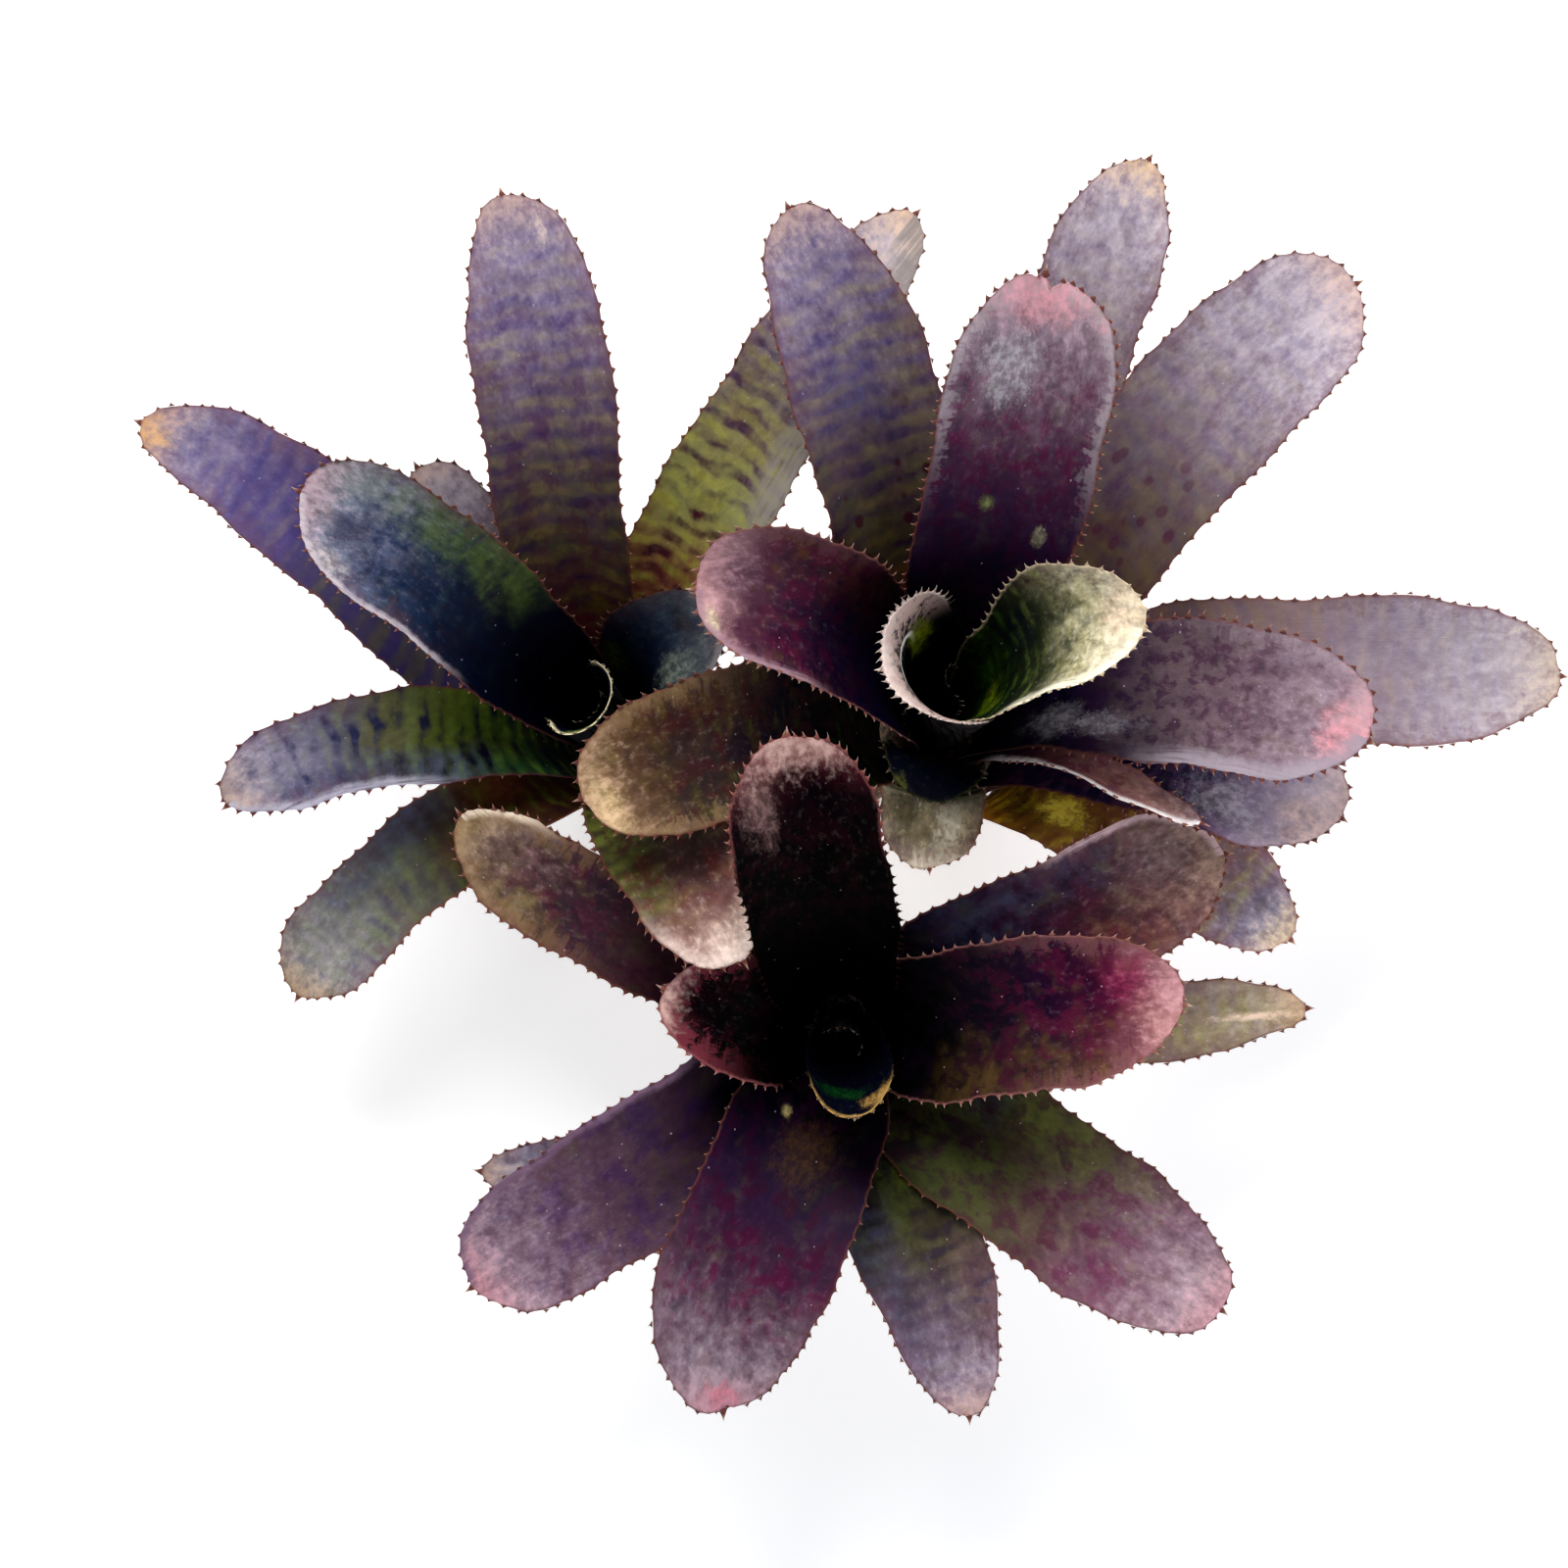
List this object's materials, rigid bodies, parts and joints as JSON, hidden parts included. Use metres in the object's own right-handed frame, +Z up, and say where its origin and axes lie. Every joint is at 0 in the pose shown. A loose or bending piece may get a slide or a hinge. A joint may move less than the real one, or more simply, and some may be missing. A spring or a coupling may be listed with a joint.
{
  "type": "bromeliad plant",
  "caption": "Clump of neoregelia bromeliad rosettes: arching strap leaves with spiny margins round water-holding cups, on a creeping rootstock with flat feet.",
  "frame": {"origin": "middle of the rootstock's flat underside, on the surface that the clump rests on", "axes": "+X to the right and +Y away from the viewer in the top view, +Z up out of the rosettes"},
  "size_m": [0.36, 0.319, 0.12],
  "materials": {
    "leaf_dark": "waxy, near-black inner leaves with a blue-green or brown cast",
    "leaf_maroon": "waxy maroon leaves with dark blotches and rose margins",
    "leaf_purple": "waxy purple-brown leaves, crossbanded with olive, grey scurf towards the tips",
    "leaf_olive": "waxy olive leaves with dark purple crossbands and blotches",
    "leaf_lilac": "outer leaves under a dull lilac-grey scurf bloom",
    "leaf_pale": "pale yellow-green to cream leaves with dark green spots",
    "rootstock": "rough brown bark with dry fibrous leaf remains"
  },
  "bodies": {
    "root": {"left_bud_leaf": "leaf_dark", "left_heart_leaf": "leaf_dark", "left_channel_leaf": "leaf_dark", "left_inner_right_leaf": "leaf_dark", "left_top_leaf": "leaf_purple", "left_lower_right_leaf": "leaf_olive", "left_side_leaf": "leaf_olive", "left_upper_right_leaf": "leaf_olive", "left_lower_leaf": "leaf_olive", "left_short_leaf": "leaf_lilac", "left_far_leaf": "leaf_lilac", "right_bud_leaf": "leaf_dark", "right_heart_leaf": "leaf_pale", "right_inner_left_leaf": "leaf_pale", "right_inner_top_leaf": "leaf_purple", "right_middle_left_leaf": "leaf_maroon", "right_inner_side_leaf": "leaf_purple", "right_folded_leaf": "leaf_maroon", "right_inner_bottom_leaf": "leaf_dark", "right_top_leaf": "leaf_purple", "right_lower_left_leaf": "leaf_olive", "right_corner_leaf": "leaf_lilac", "right_side_leaf": "leaf_lilac", "right_behind_leaf": "leaf_lilac", "right_old_leaf": "leaf_pale", "right_far_leaf": "leaf_lilac", "right_lower_leaf": "leaf_purple", "front_bud_leaf": "leaf_dark", "front_heart_leaf": "leaf_dark", "front_back_leaf": "leaf_maroon", "front_inner_right_leaf": "leaf_maroon", "front_inner_left_leaf": "leaf_maroon", "front_upper_right_leaf": "leaf_maroon", "front_bottom_left_leaf": "leaf_maroon", "front_lower_left_leaf": "leaf_purple", "front_bottom_leaf": "leaf_olive", "front_upper_left_leaf": "leaf_maroon", "front_lower_right_leaf": "leaf_purple", "front_old_leaf": "leaf_olive", "front_side_leaf": "leaf_olive", "rootstock": "rootstock"}
  },
  "joints": []
}
